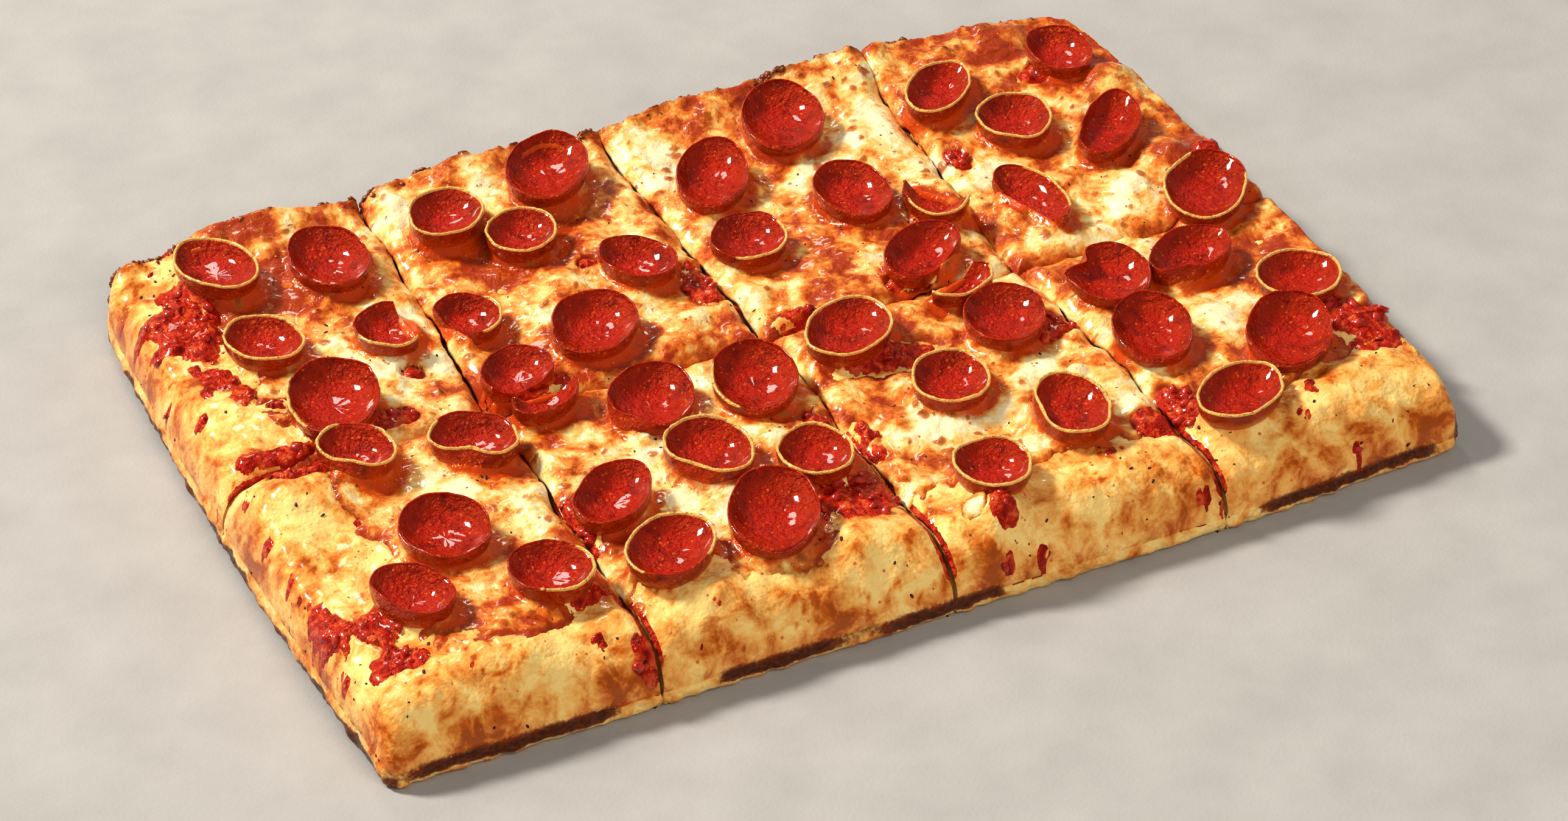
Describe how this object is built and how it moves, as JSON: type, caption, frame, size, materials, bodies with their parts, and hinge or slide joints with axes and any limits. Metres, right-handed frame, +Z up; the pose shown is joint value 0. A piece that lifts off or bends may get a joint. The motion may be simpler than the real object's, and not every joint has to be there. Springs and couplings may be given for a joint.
{
  "type": "sliced rectangular pepperoni pizza",
  "caption": "Rectangular pan pizza with melted cheese, tomato sauce and curled pepperoni, cut into slices that still lie together as the whole.",
  "frame": {"origin": "middle of the flat base, on the surface that the pizza lies on", "axes": "+X along the long side, +Y from the front row of slices to the back row, +Z up"},
  "size_m": [0.4074, 0.285, 0.041],
  "materials": {
    "crust": "baked golden crust, oiled, dark brown along the foot",
    "cheese": "melted cheese, ivory to golden with brown blisters and orange oil",
    "sauce": "wet crushed tomato sauce",
    "pepperoni": "curled cured sausage, wet with oil, some rims charred golden",
    "herbs": "dry herb and pepper flecks"
  },
  "bodies": {
    "root": {"slice_a1": "crust", "slice_a2": "crust", "slice_a3": "crust", "slice_a4": "crust", "slice_b1": "crust", "slice_b2": "crust", "slice_b3": "crust", "slice_b4": "crust", "pepperoni_a1_1": "pepperoni", "pepperoni_a1_2": "pepperoni", "pepperoni_a1_3": "pepperoni", "pepperoni_a1_4": "pepperoni", "pepperoni_a1_5": "pepperoni", "pepperoni_a2_1": "pepperoni", "pepperoni_a2_2": "pepperoni", "pepperoni_a2_3": "pepperoni", "pepperoni_a2_4": "pepperoni", "pepperoni_a2_5": "pepperoni", "pepperoni_a2_6": "pepperoni", "pepperoni_a2_7": "pepperoni", "pepperoni_a3_1": "pepperoni", "pepperoni_a3_2": "pepperoni", "pepperoni_a3_3": "pepperoni", "pepperoni_a3_4": "pepperoni", "pepperoni_a3_5": "pepperoni", "pepperoni_a3_6": "pepperoni", "pepperoni_a4_1": "pepperoni", "pepperoni_a4_2": "pepperoni", "pepperoni_a4_3": "pepperoni", "pepperoni_a4_4": "pepperoni", "pepperoni_a4_5": "pepperoni", "pepperoni_a4_6": "pepperoni", "pepperoni_b1_1": "pepperoni", "pepperoni_b1_2": "pepperoni", "pepperoni_b1_3": "pepperoni", "pepperoni_b1_4": "pepperoni", "pepperoni_b1_5": "pepperoni", "pepperoni_b2_1": "pepperoni", "pepperoni_b2_2": "pepperoni", "pepperoni_b2_3": "pepperoni", "pepperoni_b2_4": "pepperoni", "pepperoni_b2_5": "pepperoni", "pepperoni_b2_6": "pepperoni", "pepperoni_b2_7": "pepperoni", "pepperoni_b2_8": "pepperoni", "pepperoni_b3_1": "pepperoni", "pepperoni_b3_2": "pepperoni", "pepperoni_b3_3": "pepperoni", "pepperoni_b3_4": "pepperoni", "pepperoni_b3_5": "pepperoni", "pepperoni_b3_6": "pepperoni", "pepperoni_b4_1": "pepperoni", "pepperoni_b4_2": "pepperoni", "pepperoni_b4_3": "pepperoni", "pepperoni_b4_4": "pepperoni", "pepperoni_b4_5": "pepperoni", "pepperoni_b4_6": "pepperoni"}
  },
  "joints": []
}
